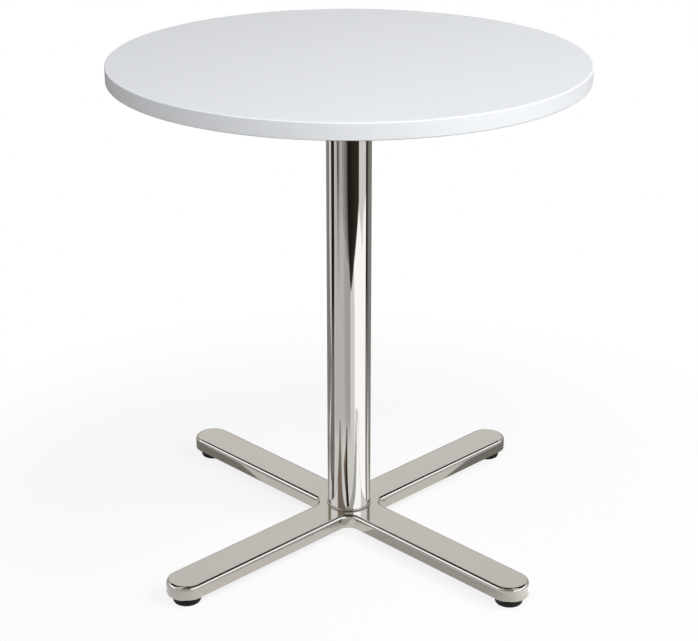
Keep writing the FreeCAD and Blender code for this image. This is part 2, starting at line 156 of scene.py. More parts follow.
class CafeTableBracket(bpy.types.PropertyGroup):
    """The four-arm bracket under the top, and its screws."""

    paint_colour: colour("Paint", "Colour of the powder coat", (0.022, 0.022, 0.023))
    plate: length("Plate", "Thickness of the arms", 6)
    arm_root_width: length("Arm root", "Width of an arm at the centre", 46)
    arm_tip_width: length("Arm tip", "Width of an arm at its round end", 30)
    edge_radius: length("Edge radius", "Rounding of the cast edges", 1)
    hub_radius: length("Hub radius", "Radius of the hub that holds the column", 45)
    hub_edge_radius: length("Hub edge", "Rounding of the hub's lower edge", 3)
    rib_thickness: length("Rib", "Thickness of the rib under each arm", 8)
    rib_depth: length("Rib depth", "Depth of a rib at the hub", 15)
    rib_end: length("Rib end", "How far out a rib reaches", 138)
    screw_spacing: length("Screw spacing", "Distance between the two screws of an arm", 28)
    screw_radius: length("Screw", "Radius of a screw's shank", 2.5)
    screw_point: length("Screw point", "Length of a screw's point", 4)
    crown_radius: length("Screw crown", "Radius of the flat in which the cross is cut", 3)
    cross_reach: length("Cross reach", "Half the length of the cross in a screw's head", 2.3)
    cross_width: length("Cross width", "Width of the cross in a screw's head", 1)
    cross_depth: length("Cross depth", "Depth of the cross in a screw's head", 1.8)


class CafeTableColumn(bpy.types.PropertyGroup):
    """The column tube, and the rod that clamps it."""

    tint: colour("Tint", "Reflected colour of the polished tube", (0.60, 0.575, 0.55))
    roughness: share("Roughness", "Roughness of the polished tube", 0.035)
    wall: length("Wall", "Thickness of the tube", 2)
    end_chamfer: length("End chamfer", "Chamfer on the tube's ends", 0.5)
    steps: count("Steps", "Flats round the tube", 256)
    zinc_tint: colour("Zinc", "Reflected colour of the plated fasteners", (0.55, 0.56, 0.57))
    thread_length: length("Rod thread", "Length of thread on each end of the rod", 30)
    rod_pitch: length("Rod pitch", "Pitch of the rod's thread", 1.5)


class CafeTableBase(bpy.types.PropertyGroup):
    """The X-shaped base casting."""

    tint: colour("Tint", "Reflected colour of the polished casting", (0.51, 0.48, 0.437))
    roughness: share("Roughness", "Roughness of the polished casting", 0.07)
    leg_width: length("Leg width", "Width of a leg", 60)
    leg_thickness: length("Leg thickness", "Depth of a leg", 21.5)
    corner_radius: length("Corner radius", "Rounding between neighbouring legs", 18)
    upper_edge: length("Upper edge", "Rounding of the upper edges", 6)
    lower_edge: length("Lower edge", "Rounding of the lower edges", 1.5)
    wall: length("Wall", "Thickness of a leg's side walls", 5)
    skin: length("Skin", "Thickness of a leg's upper wall", 6)
    rib: length("Rib", "Thickness of the ribs underneath", 4)
    rib_recess: length("Rib recess", "How far the ribs stop short of the rim", 3)
    cross_ribs: count("Cross ribs", "Ribs across each leg", 3)
    hub_boss_radius: length("Hub boss", "Radius of the solid hub underneath", 45)
    foot_boss_radius: length("Foot boss", "Radius of the boss that takes a foot", 15)
    seat_depth: length("Seat depth", "Depth of the ring that the column stands in", 3)
    seat_lip: length("Seat lip", "Thickness of the bead round the foot of the column", 1.3)
    seat_lip_height: length("Lip height", "Height of that bead", 2.6)
    slip: length("Slip", "Clearance round the column's wall", 0.15)
    spigot_wall: length("Spigot wall", "Wall of the spigot inside the column", 6)
    rod_hole_radius: length("Rod hole", "Radius of the hole for the rod", 5.25)
    nut_pocket_radius: length("Nut pocket", "Radius of the pocket for nut and washer", 17)


class CafeTableFeet(bpy.types.PropertyGroup):
    """The four levelling feet: a moulded pad round a threaded stud."""

    colour: colour("Pad", "Colour of the moulded pads", (0.012, 0.012, 0.013))
    sole_radius: length("Sole radius", "Radius of a pad's sole", 20.5)
    sole_edge: length("Sole edge", "Rounding of a pad's lower edge", 2.5)
    skirt: length("Skirt", "Height over which a pad widens", 6)
    upper_edge: length("Upper edge", "Rounding of a pad's upper edge", 0.8)
    flange_thickness: length("Flange", "Thickness of a stud's flange", 3)
    stud_radius: length("Stud radius", "Radius over a stud's thread", 4)
    clearance: length("Clearance", "Turning clearance between pad and stud", 0.05)
    pitch: length("Pitch", "Pitch of a stud's thread", 1.25)
    steps: count("Steps", "Flats round a pad", 96)


class CafeTableStage(bpy.types.PropertyGroup):
    """Camera, floor, light and the cards that the polished metal mirrors."""

    bearing: angle("Bearing", "Direction of the camera round the table", 45.42)
    distance: size("Distance", "Level distance from the column's axis to the camera", 2.3369)
    height: size("Height", "Height of the camera above the floor", 1.3082)
    pitch: angle("Pitch", "How far the camera looks down", 22.28)
    lens: level("Lens", "Focal length in millimetres", 84.77)
    floor_radius: size("Floor", "Radius of the floor", 12)
    floor_colour: colour("Floor colour", "Colour of the light that the floor throws back", (0.6, 0.6, 0.6))
    shadow_share: share("Shadow", "Share of the table's shadow that the camera sees", 0.16)
    mirror_shadow_share: share("Mirrored shadow", "Share of the shadow that polished metal mirrors", 0.25)
    shadow_near: size("Shadow near", "Distance to which the shadow shows in full", 0.4)
    shadow_far: size("Shadow far", "Distance at which the shadow has faded out", 0.95)
    ambient: level("Ambient", "Level of the light from all round", 0.2)
    lamp_size: size("Lamp size", "Side of each square lamp", 1.8)
    key_power: level("Key power", "Power of the lamp on the right, in watts", 82)
    front_power: level("Front power", "Power of the lamp beside the camera, in watts", 58)
    card_distance: size("Card distance", "Distance of the standing cards", 3)


# Meshes

def new_face(bm, corners):
    return bm.faces.new([bm.verts.new(corner) for corner in corners])


def wire(bm, corners, closed=False):
    """Vertices joined by edges in order."""
    verts = [bm.verts.new(corner) for corner in corners]
    following = verts[1:] + verts[:1] if closed else verts[1:]
    for pair in zip(verts, following):
        bm.edges.new(pair)
    return verts


def bevel(bm, geom, radius, segments, affect="EDGES"):
    bmesh.ops.bevel(
        bm, geom=geom, offset=radius, offset_type="OFFSET", segments=segments, profile=0.5,
        affect=affect, clamp_overlap=False, material=-1,
    )


def turn(bm, corners, steps, centre=(0, 0), closed=True, rounded=(), segments=CORNER_FLATS):
    """Turn a profile of (radius, height) corners about an upright axis. rounded: (corner, radius) pairs."""
    x, y = centre
    verts = wire(bm, [(x + radius, y, height) for radius, height in corners], closed)
    profile = set(verts)
    for corner, radius in rounded:
        old = set(bm.verts)
        bevel(bm, [verts[corner]], radius, segments, "VERTICES")
        profile = {vert for vert in profile if vert.is_valid} | (set(bm.verts) - old)
    edges = {edge for vert in profile for edge in vert.link_edges}
    before = set(bm.verts) - profile
    bmesh.ops.spin(
        bm, geom=list(profile) + list(edges), cent=(x, y, 0), axis=(0, 0, 1), dvec=(0, 0, 0),
        angle=math.tau, steps=steps, use_merge=True,
    )
    turned = [vert for vert in bm.verts if vert not in before]
    bmesh.ops.remove_doubles(bm, verts=turned, dist=MERGE_DISTANCE)


def upright(inner, outer, low, high):
    """Corners of a profile with four sides, for turning."""
    return [(inner, low), (outer, low), (outer, high), (inner, high)]


def thread(bm, radius, pitch, low, high, centre=(0, 0)):
    """A closed threaded length between two heights, from one turn's section wound up a helix."""
    root = radius - THREAD_DEPTH * pitch
    section = ((root, 0), (root, FLANK_START), (radius, CREST_START), (radius, CREST_END), (root, 1))
    x, y = centre
    before = set(bm.verts)
    verts = wire(bm, [(x + distance, y, low + rise * pitch) for distance, rise in section])
    edges = list({edge for vert in verts for edge in vert.link_edges})
    turns = int((high - low) / pitch) - 1
    bmesh.ops.spin(
        bm, geom=verts + edges, cent=(x, y, 0), axis=(0, 0, 1), dvec=(0, 0, pitch / THREAD_STEPS),
        angle=math.tau * turns, steps=turns * THREAD_STEPS, use_merge=False,
    )
    wound = [vert for vert in bm.verts if vert not in before]
    bmesh.ops.remove_doubles(bm, verts=wound, dist=MERGE_DISTANCE)
    ends = {
        edge for vert in bm.verts if vert not in before for edge in vert.link_edges if edge.is_boundary
    }
    bmesh.ops.holes_fill(bm, edges=list(ends), sides=0)


def box(bm, low, high, spin):
    """A closed block between two corners, turned about the Z axis."""
    middle = (Vector(low) + Vector(high)) / 2
    extent = Vector(high) - Vector(low)
    place = spin @ Matrix.Translation(middle) @ Matrix.Diagonal((*extent, 1))
    bmesh.ops.create_cube(bm, size=1, matrix=place)


def quarter_turns():
    return [Matrix.Rotation(math.tau * leg / LEG_COUNT, 4, "Z") for leg in range(LEG_COUNT)]


def four_arms(bm, inner, tip, tip_half_width, height, inner_radius, segments):
    """A level face with four round-ended arms, and corners between them that inner_radius can round."""
    corners = []
    for spin in quarter_turns():
        for x, y in ((inner, -inner), (tip, -tip_half_width), (tip, tip_half_width)):
            corners.append(spin @ Vector((x, y, height)))
    face = new_face(bm, corners)
    verts = list(face.verts)
    ends = [vert for index, vert in enumerate(verts) if index % 3]
    bevel(bm, ends, tip_half_width, segments, "VERTICES")
    if inner_radius:
        bevel(bm, verts[::3], inner_radius, segments, "VERTICES")
    bmesh.ops.remove_doubles(bm, verts=bm.verts, dist=MERGE_DISTANCE)


def is_level(edge, height):
    return all(abs(vert.co.z - height) < MERGE_DISTANCE for vert in edge.verts)


def level_edges(bm, height):
    return [edge for edge in bm.edges if is_level(edge, height)]


def extrude_faces(bm, faces, move):
    """Extrude lone faces, which stay where they are, and return the vertices that moved."""
    made = bmesh.ops.extrude_face_region(bm, geom=faces, use_keep_orig=True)["geom"]
    moved = [item for item in made if isinstance(item, bmesh.types.BMVert)]
    bmesh.ops.translate(bm, verts=moved, vec=move)
    return moved


def sink_faces(bm, faces, depth):
    """Turn lone faces into hollows that are open at the bottom, and return the vertices of their ceilings."""
    ceiling = extrude_faces(bm, faces, (0, 0, depth))
    bmesh.ops.delete(bm, geom=faces, context="FACES_ONLY")
    return ceiling


def open_flat(bm, height):
    """Delete the large level face at a height, leaving its outline open."""
    level_faces = [face for face in bm.faces if all(is_level(edge, height) for edge in face.edges)]
    largest = max(level_faces, key=lambda face: face.calc_area())
    bmesh.ops.delete(bm, geom=[largest], context="FACES_ONLY")


def fill_flat(bm, height):
    """Fill between all open outlines at a height."""
    edges = [edge for edge in level_edges(bm, height) if len(edge.link_faces) < 2]
    bmesh.ops.triangle_fill(bm, edges=edges, use_beauty=True, use_dissolve=False, normal=(0, 0, 1))


def add_object(name, data):
    added = bpy.data.objects.new(name, data)
    bpy.context.scene.collection.objects.link(added)
    return added


def add_mesh(name, bm, finish):
    """Turn a bmesh into an object with a finish."""
    mesh = bpy.data.meshes.new(name)
    bm.to_mesh(mesh)
    bm.free()
    mesh.materials.append(finish)
    return add_object(name, mesh)


def make_piece(name, bm, finish, slot, body, *nodes):
    """Turn a bmesh into a piece that rides a body and stands for CAD nodes."""
    bmesh.ops.recalc_face_normals(bm, faces=bm.faces)
    piece = add_mesh(name, bm, finish)
    piece.data.shade_smooth()
    piece.data.set_sharp_from_angle(angle=SHARP_ANGLE)
    normals = piece.modifiers.new("Flat faces stay flat", "WEIGHTED_NORMAL")
    normals.keep_sharp = True
    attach(piece, body)
    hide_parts(*nodes)


def dress_node(node, finish):
    """Give a CAD node a finish in place of its plain one."""
    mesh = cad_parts[node].data
    mesh.materials.clear()
    mesh.materials.append(finish)


# Finishes

class Value:
    """A number socket of a finish: sums with it add Math nodes."""

    def __init__(self, finish, socket):
        self.finish = finish
        self.socket = socket

    def maths(self, operation, first, second):
        return self.finish.node("Math", {0: first, 1: second}, operation=operation)

    def __add__(self, other):
        return self.maths("ADD", self, other)

    def __mul__(self, other):
        return self.maths("MULTIPLY", self, other)

    def __rsub__(self, other):
        return self.maths("SUBTRACT", other, self)

    __radd__ = __add__
    __rmul__ = __mul__


class Finish:
    """A material or world under construction, with one way to add a node."""

    def __init__(self, name, owner=None):
        self.material = owner or bpy.data.materials.new(name)
        self.material.use_nodes = True
        self.tree = self.material.node_tree
        self.tree.nodes.clear()

    def node(self, kind, sockets=None, output=0, **settings):
        """Add a node, set it up, then feed its sockets with values or links."""
        added = self.tree.nodes.new(f"ShaderNode{kind}")
        for key, setting in settings.items():
            if key == "stops":
                self.set_stops(added.color_ramp, setting)
            else:
                setattr(added, key, setting)
        for key, fed in (sockets or {}).items():
            self.feed(added.inputs[key], fed)
        return Value(self, added.outputs[output]) if added.outputs else None

    def feed(self, socket, fed):
        if isinstance(fed, Value):
            self.tree.links.new(fed.socket, socket)
        elif socket.type == "RGBA":
            socket.default_value = (*fed[:3], 1)
        else:
            socket.default_value = fed

    @staticmethod
    def set_stops(ramp, stops):
        while len(ramp.elements) < len(stops):
            ramp.elements.new(1)
        for element, (position, shade) in zip(ramp.elements, stops):
            element.position = position
            element.color = (shade, shade, shade, 1)

    def place(self, scale=(1, 1, 1)):
        """Object coordinates, stretched."""
        coordinates = self.node("TexCoord", output="Object")
        return self.node("Mapping", {"Vector": coordinates, "Scale": scale})

    def noise(self, scale, stretch=(1, 1, 1), detail=2.0, roughness=0.5):
        sockets = {"Vector": self.place(stretch), "Scale": scale, "Detail": detail, "Roughness": roughness}
        return self.node("TexNoise", sockets)

    def ramp(self, fed, stops):
        return self.node("ValToRGB", {"Fac": fed}, stops=stops)

    def mix(self, factor, first, second):
        """A blend of two colours."""
        return self.node("Mix", {0: factor, 6: first, 7: second}, output=2, data_type="RGBA")

    def height(self):
        """Height above the floor."""
        return self.node("SeparateXYZ", {"Vector": self.place()}, output="Z")

    def fade(self, fed, start, end):
        """0 at a start, rising to 1 at an end."""
        return self.node("MapRange", {"Value": fed, "From Min": start, "From Max": end})

    def bump(self, height, millimetres):
        return self.node("Bump", {"Height": height, "Distance": millimetres * MILLIMETRE})

    def surface(self, **sockets):
        """End the finish with a Principled shader."""
        named = {key.replace("_", " ").title().replace("Ior", "IOR"): fed for key, fed in sockets.items()}
        shader = self.node("BsdfPrincipled", named)
        self.node("OutputMaterial", {"Surface": shader})
        return self.material


def shaded(tone, factor):
    """A colour made darker or lighter."""
    return tuple(min(part * factor, 1) for part in tone)


def white_sheet(tone):
    """Decorative laminate: a fine pearl texture, with a faint cloud in the white."""
    finish = Finish("white_laminate")
    cloud = finish.noise(9, detail=3)
    grain = finish.noise(900)
    pearl = finish.noise(2600, detail=1)
    tint = finish.mix(cloud, shaded(tone, 0.985), shaded(tone, 1.012))
    tint = finish.mix(finish.ramp(grain, ((0.42, 0), (0.62, 1))), shaded(tone, 0.988), tint)
    return finish.surface(
        base_color=tint,
        roughness=0.34 + 0.10 * grain + 0.03 * cloud,
        specular_ior_level=0.3,
        normal=finish.bump(grain * 0.6 + pearl * 0.4, 0.012),
    )


def white_edging(tone):
    """Extruded edging: faint lines along its length, a painted highlight along the upper arris and painted
    shade along the lower arris.
    """
    finish = Finish("white_edging")
    lines = finish.noise(40, stretch=(0.4, 0.4, 60), detail=4)
    cloud = finish.noise(14)
    speck = finish.noise(1200)
    height = finish.height()
    # Masks for painted light: a paler upper arris stands in for a highlight, a darker lower arris for shade.
    painted_arris_highlight = finish.fade(height, BAND_HIGH.z - 1.6 * MILLIMETRE, BAND_HIGH.z - 0.7 * MILLIMETRE)
    painted_lower_arris_shade = finish.fade(height, BAND_LOW.z + 1.4 * MILLIMETRE, BAND_LOW.z + 0.5 * MILLIMETRE)
    tint = finish.mix(lines, shaded(tone, 0.985), shaded(tone, 1.01))
    tint = finish.mix(cloud * 0.4, tint, shaded(tone, 0.985))
    # Painted highlight on the upper arris, then painted shade on the lower arris.
    tint = finish.mix(painted_arris_highlight, tint, shaded(tone, 1.15))
    tint = finish.mix(painted_lower_arris_shade, tint, shaded(tone, 0.5))
    return finish.surface(
        base_color=tint,
        roughness=0.34 + 0.10 * lines + 0.04 * speck,
        specular_ior_level=0.22,
        normal=finish.bump(lines * 0.7 + speck * 0.3, 0.01),
    )


def backing_sheet(tone):
    """Sanded resin backing: brown-black, with fine scratches one way and a patchy sheen."""
    finish = Finish("backing_sheet")
    scratches = finish.noise(30, stretch=(1, 60, 1), detail=5, roughness=0.65)
    patches = finish.noise(7, detail=4)
    tint = finish.mix(scratches, shaded(tone, 0.8), shaded(tone, 1.3))
    tint = finish.mix(patches, shaded(tone, 0.85), tint)
    return finish.surface(
        base_color=tint,
        roughness=0.48 + 0.18 * patches + 0.08 * scratches,
        normal=finish.bump(scratches, 0.03),
    )


def particle_board(tone):
    """Pressed wood particles."""
    finish = Finish("particle_board")
    chips = finish.node("TexVoronoi", {"Vector": finish.place((1, 1, 2.5)), "Scale": 420})
    fibres = finish.noise(260, detail=4)
    tint = finish.mix(chips, shaded(tone, 0.7), shaded(tone, 1.25))
    tint = finish.mix(fibres * 0.5, tint, shaded(tone, 1.1))
    return finish.surface(base_color=tint, roughness=0.85, normal=finish.bump(chips + fibres, 0.15))


def polished_tube(tone, roughness):
    """Mirror-polished steel tube: hairlines along its length, and a faint haze."""
    finish = Finish("polished_column")
    hairlines = finish.noise(900, stretch=(1, 1, 0.004), detail=2)
    haze = finish.noise(16, stretch=(1, 1, 0.3), detail=3)
    tint = finish.mix(haze, shaded(tone, 0.97), shaded(tone, 1.02))
    return finish.surface(
        base_color=tint,
        metallic=1.0,
        roughness=roughness + 0.03 * hairlines * haze,
        normal=finish.bump(hairlines, 0.0006),
    )


def polished_casting(tone, roughness):
    """Polished casting: softer mirror than the tube, with buffing swirls and a faint unevenness."""
    finish = Finish("polished_base")
    buffing = finish.noise(420, detail=3)
    haze = finish.noise(22, detail=3)
    tint = finish.mix(haze, shaded(tone, 0.965), shaded(tone, 1.02))
    return finish.surface(
        base_color=tint,
        metallic=1.0,
        roughness=roughness + 0.05 * haze + 0.03 * buffing,
        normal=finish.bump(buffing, 0.0008),
    )


def powder_coat(tone):
    """Black powder coat with its orange peel."""
    finish = Finish("black_bracket")
    peel = finish.noise(700)
    dust = finish.noise(35, detail=4)
    tint = finish.mix(dust, tone, shaded(tone, 1.6))
    return finish.surface(
        base_color=tint,
        roughness=0.40 + 0.15 * dust + 0.05 * peel,
        specular_ior_level=0.45,
        normal=finish.bump(peel, 0.06),
    )


def zinc_plate(tone):
    """Bright zinc plating, cloudy and a little scratched."""
    finish = Finish("zinc_steel")
    bloom = finish.noise(120, detail=4)
    marks = finish.noise(600, stretch=(1, 1, 0.2), detail=3)
    tint = finish.mix(bloom, shaded(tone, 0.82), shaded(tone, 1.12))
    return finish.surface(
        base_color=tint,
        metallic=1.0,
        roughness=0.24 + 0.20 * bloom + 0.06 * marks,
        normal=finish.bump(marks, 0.01),
    )


def zinc_steel(scene):
    """The one zinc finish that all fasteners share."""
    return bpy.data.materials.get("zinc_steel") or zinc_plate(scene.cafe_table_column.zinc_tint)


def moulded_pad(tone):
    """Black moulded pad: a fine spark texture, scuffed towards the floor."""
    finish = Finish("black_foot")
    spark = finish.noise(1500)
    patches = finish.noise(160, detail=4, roughness=0.6)
    low = finish.fade(finish.height(), 6 * MILLIMETRE, 0)
    scuff = low * finish.ramp(patches, ((0.5, 0), (0.72, 1)))
    tint = finish.mix(scuff * 0.5, tone, (0.06, 0.058, 0.055))
    return finish.surface(
        base_color=tint,
        roughness=0.48 + 0.10 * spark + 0.2 * scuff,
        specular_ior_level=0.12,
        normal=finish.bump(spark, 0.02),
    )


# Pieces

class CAFE_TABLE_OT_top(bpy.types.Operator):
    """Make the decorative sheet, the rim edging and the backing sheet, and finish the board"""

    bl_idname = "cafe_table.top"
    bl_label = "Round Top"

    def execute(self, context):
        top = context.scene.cafe_table_top
        radius = SHEET_HIGH.x
        sheet = self.make_disc(top, radius, SHEET_LOW.z, SHEET_HIGH.z, 2)
        make_piece("top_sheet", sheet, white_sheet(top.sheet_colour), "white_laminate", BODY, "top_laminate")

        edging = bmesh.new()
        corners = upright(radius, BAND_HIGH.x, BAND_LOW.z, BAND_HIGH.z)
        rounded = [(1, top.arris_radius), (2, top.arris_radius), (3, top.sheet_edge)]
        turn(edging, corners, top.rim_steps, rounded=rounded)
        make_piece("rim_edging", edging, white_edging(top.edging_colour), "white_edging", BODY, "edge_band")

        backing = self.make_disc(top, radius, BACKING_LOW.z, BACKING_HIGH.z, 1)
        finish = backing_sheet(top.backing_colour)
        make_piece("underside_sheet", backing, finish, "backing_sheet", BODY, "backing_laminate")
        dress_node("top_core", particle_board(top.board_colour))
        return {"FINISHED"}

    @staticmethod
    def make_disc(top, radius, low, high, trimmed):
        """A sheet with its trimmed corner, counted round the profile, bevelled."""
        bm = bmesh.new()
        rounded = [(trimmed, top.sheet_edge)]
        corners = upright(0, radius, low, high)
        turn(bm, corners, top.rim_steps, closed=False, rounded=rounded, segments=SHEET_EDGE_FLATS)
        return bm


def add_bracket_arms(bm, bracket):
    """The plate with its four tapered arms, and a rib under each arm."""
    tip, bottom = BRACKET_HIGH.x, BRACKET_HIGH.z - bracket.plate
    tip_half = bracket.arm_tip_width / 2
    taper = (bracket.arm_root_width / 2 - tip_half) / tip
    inner = bracket.arm_root_width / 2 / (1 + taper)
    four_arms(bm, inner, tip, tip_half, bottom, 0, ARM_END_FLATS)
    extrude_faces(bm, bm.faces[:], (0, 0, bracket.plate))
    bmesh.ops.recalc_face_normals(bm, faces=bm.faces)
    bevel(bm, level_edges(bm, bottom), bracket.edge_radius, ARM_EDGE_FLATS)
    root = COLUMN_HIGH.x
    rib = [(root, bottom - bracket.rib_depth), (bracket.rib_end, bottom), (root, bottom)]
    half = Vector((0, bracket.rib_thickness / 2, 0))
    for spin in quarter_turns():
        old = set(bm.faces)
        face = new_face(bm, [spin @ (Vector((x, 0, z)) - half) for x, z in rib])
        extrude_faces(bm, [face], spin @ (2 * half))
        sides = [new for new in bm.faces if new not in old]
        bmesh.ops.recalc_face_normals(bm, faces=sides)
        slopes = {edge for new in sides for edge in new.edges if not is_level(edge, bottom)}
        bevel(bm, list(slopes), bracket.edge_radius, RIB_EDGE_FLATS)


def add_bracket_hub(bm, bracket, base):
    """The hub, with the ring that takes the column and the pocket over the nut."""
    low, high = BRACKET_LOW.z, BRACKET_HIGH.z - MERGE_DISTANCE
    inner = COLUMN_HIGH.x - bpy.context.scene.cafe_table_column.wall - base.slip
    outer = COLUMN_HIGH.x + base.slip
    floor = TOP_WASHER_LOW.z
    corners = [
        (base.rod_hole_radius, low),
        (inner, low),
        (inner, COLUMN_HIGH.z),
        (outer, COLUMN_HIGH.z),
        (outer, low),
        (bracket.hub_radius, low),
        (bracket.hub_radius, high),
        (base.nut_pocket_radius, high),
        (base.nut_pocket_radius, floor),
        (base.rod_hole_radius, floor),
    ]
    turn(bm, corners, HUB_STEPS, rounded=[(5, bracket.hub_edge_radius)])


def add_screw(bm, bracket, centre):
    """A pan-head screw with a cross cut in its head, driven upwards."""
    x, y = centre
    low = SCREW_LOW.z
    seat = BRACKET_HIGH.z - bracket.plate
    head_radius = 2 * bracket.screw_radius
    corners = [
        (bracket.crown_radius, low),
        (head_radius, low),
        (head_radius, seat),
        (bracket.screw_radius, seat),
        (bracket.screw_radius, SCREW_HIGH.z - bracket.screw_point),
        (0, SCREW_HIGH.z),
    ]
    turn(bm, corners, SCREW_STEPS, centre, closed=False, rounded=[(1, (seat - low) / 2)])
    half, reach = bracket.cross_width / 2, bracket.cross_reach
    cross = []
    for spin in quarter_turns():
        for across, out in ((half, -half), (reach, -half), (reach, half)):
            cross.append(spin @ Vector((across, out, 0)) + Vector((x, y, low)))
    floor = sink_faces(bm, [new_face(bm, cross)], bracket.cross_depth)
    bmesh.ops.scale(
        bm, verts=floor, vec=(CROSS_TAPER, CROSS_TAPER, 1), space=Matrix.Translation((-x, -y, 0))
    )


class CAFE_TABLE_OT_bracket(bpy.types.Operator):
    """Make the four-arm bracket under the top, and the screws that hold it"""

    bl_idname = "cafe_table.bracket"
    bl_label = "Bracket and Screws"

    def execute(self, context):
        bracket = context.scene.cafe_table_bracket
        bm = bmesh.new()
        add_bracket_arms(bm, bracket)
        add_bracket_hub(bm, bracket, context.scene.cafe_table_base)
        make_piece("bracket", bm, powder_coat(bracket.paint_colour), "black_bracket", BODY, "top_spider")

        screws = bmesh.new()
        outer = SCREW_HIGH.x - 2 * bracket.screw_radius
        for spin in quarter_turns():
            for radius in (outer - bracket.screw_spacing, outer):
                add_screw(screws, bracket, (spin @ Vector((radius, 0, 0))).xy)
        fill_flat(screws, SCREW_LOW.z)
        zinc = zinc_steel(context.scene)
        make_piece("bracket_screws", screws, zinc, "zinc_steel", BODY, "spider_screws")
        return {"FINISHED"}


class CAFE_TABLE_OT_column(bpy.types.Operator):
    """Make the polished column tube"""

    bl_idname = "cafe_table.column"
    bl_label = "Column"

    def execute(self, context):
        column = context.scene.cafe_table_column
        outer, inner = COLUMN_HIGH.x, COLUMN_HIGH.x - column.wall
        low, high = COLUMN_LOW.z, COLUMN_HIGH.z
        bm = bmesh.new()
        corners = upright(inner, outer, low, high)
        rounded = [(1, column.end_chamfer), (2, column.end_chamfer)]
        turn(bm, corners, column.steps, rounded=rounded, segments=1)
        finish = polished_tube(column.tint, column.roughness)
        make_piece("column", bm, finish, "polished_column", BODY, "column_tube")
        return {"FINISHED"}


class CAFE_TABLE_OT_tie_rod(bpy.types.Operator):
    """Make the threaded rod, and finish its nuts and washers"""

    bl_idname = "cafe_table.tie_rod"
    bl_label = "Tie Rod"

    def execute(self, context):
        column = context.scene.cafe_table_column
        radius = ROD_HIGH.x
        low, high = ROD_LOW.z, ROD_HIGH.z
        lower_end, upper_start = low + column.thread_length, high - column.thread_length
        bm = bmesh.new()
        turn(bm, upright(0, radius, lower_end, upper_start), ROD_STEPS, closed=False)
        thread(bm, radius, column.rod_pitch, low, lower_end + column.rod_pitch)
        thread(bm, radius, column.rod_pitch, upper_start - column.rod_pitch, high)
        zinc = zinc_steel(context.scene)
        make_piece("threaded_rod", bm, zinc, "zinc_steel", BODY, "tie_rod")
        for node in ("rod_top_washer", "rod_top_nut", "rod_bottom_washer", "rod_bottom_nut"):
            dress_node(node, zinc)
        return {"FINISHED"}


def add_base_shell(bm, base):
    """The X with its rounded edges, open above and below at two level outlines."""
    top = BASE_LOW.z + base.leg_thickness
    half = base.leg_width / 2
    four_arms(bm, half, FOOT_CIRCLE + half, half, top, base.corner_radius, LEG_END_FLATS)
    extrude_faces(bm, bm.faces[:], (0, 0, -base.leg_thickness))
    bmesh.ops.recalc_face_normals(bm, faces=bm.faces)
    bevel(bm, level_edges(bm, top), base.upper_edge, UPPER_EDGE_FLATS)
    bevel(bm, level_edges(bm, BASE_LOW.z), base.lower_edge, LOWER_EDGE_FLATS)
    open_flat(bm, top)
    open_flat(bm, BASE_LOW.z)


def add_column_seat(bm, base, column):
    """The seat and spigot above, the rod's hole, and the nut's pocket below, as one turned profile."""
    top = BASE_LOW.z + base.leg_thickness
    seat = top - base.seat_depth
    outer = COLUMN_HIGH.x + base.slip
    spigot = COLUMN_HIGH.x - column.wall - base.slip
    bore = spigot - base.spigot_wall
    ceiling = BOTTOM_WASHER_HIGH.z
    corners = [
        (outer + base.seat_lip * BEAD_UNDERCUT, top),
        (outer + base.seat_lip, top + base.seat_lip_height * BEAD_BEND),
        (outer + base.seat_lip, top + base.seat_lip_height * (1 - BEAD_BEND)),
        (outer, top + base.seat_lip_height),
        (outer, seat),
        (spigot, seat),
        (spigot, BASE_HIGH.z),
        (bore, BASE_HIGH.z),
        (bore, top),
        (base.rod_hole_radius, top),
        (base.rod_hole_radius, ceiling),
        (base.nut_pocket_radius, ceiling),
        (base.nut_pocket_radius, BASE_LOW.z),
    ]
    lip_edge = base.seat_lip * BEAD_ROUNDING
    turn(bm, corners, SEAT_STEPS, closed=False, rounded=[(1, lip_edge), (2, lip_edge)])


def add_arc(bm, start, centre, sweep):
    """Edges from a start round an upright axis, given by their two ends."""
    first = bm.verts.new(start)
    swept = bmesh.ops.spin(
        bm, geom=[first], cent=centre, axis=(0, 0, 1), dvec=(0, 0, 0), angle=sweep, steps=CAVITY_STEPS
    )
    return first, swept["geom_last"][0]


def add_leg_cavity(bm, base, spin):
    """The hollow under one leg, between the hub's boss and its round end."""
    half = base.leg_width / 2 - base.wall
    spread = math.asin(half / base.hub_boss_radius)
    old = set(bm.edges)
    low = BASE_LOW.z
    start = base.hub_boss_radius * math.cos(spread)
    root, root_end = add_arc(bm, (start, -half, low), (0, 0, 0), 2 * spread)
    tip, tip_end = add_arc(bm, (FOOT_CIRCLE, -half, low), (FOOT_CIRCLE, 0, 0), math.pi)
    bm.edges.new((root, tip))
    bm.edges.new((root_end, tip_end))
    outline = [edge for edge in bm.edges if edge not in old]
    verts = list({vert for edge in outline for vert in edge.verts})
    bmesh.ops.rotate(bm, verts=verts, cent=(0, 0, 0), matrix=spin.to_3x3())
    mouth = bmesh.ops.edgeloop_fill(bm, edges=outline)["faces"]
    sink_faces(bm, mouth, base.leg_thickness - base.skin)


def add_leg_ribs(bm, base, spin):
    """A rib along a leg's hollow, the ribs across it, and the boss that takes the foot's stud."""
    low, high = BASE_LOW.z + base.rib_recess, BASE_LOW.z + base.leg_thickness - base.skin / 2
    half = base.rib / 2
    side = base.leg_width / 2 - base.wall / 2
    start = base.hub_boss_radius - half
    boss_edge = FOOT_CIRCLE - base.foot_boss_radius
    box(bm, (start, -half, low), (boss_edge + half, half, high), spin)
    spacing = (boss_edge - base.hub_boss_radius) / (base.cross_ribs + 1)
    for rib in range(base.cross_ribs):
        middle = base.hub_boss_radius + spacing * (rib + 1)
        box(bm, (middle - half, -side, low), (middle + half, side, high), spin)
    centre = (spin @ Vector((FOOT_CIRCLE, 0, 0))).xy
    stud = bpy.context.scene.cafe_table_feet.stud_radius
    turn(bm, upright(stud, base.foot_boss_radius, BASE_LOW.z, high), BOSS_STEPS, centre)


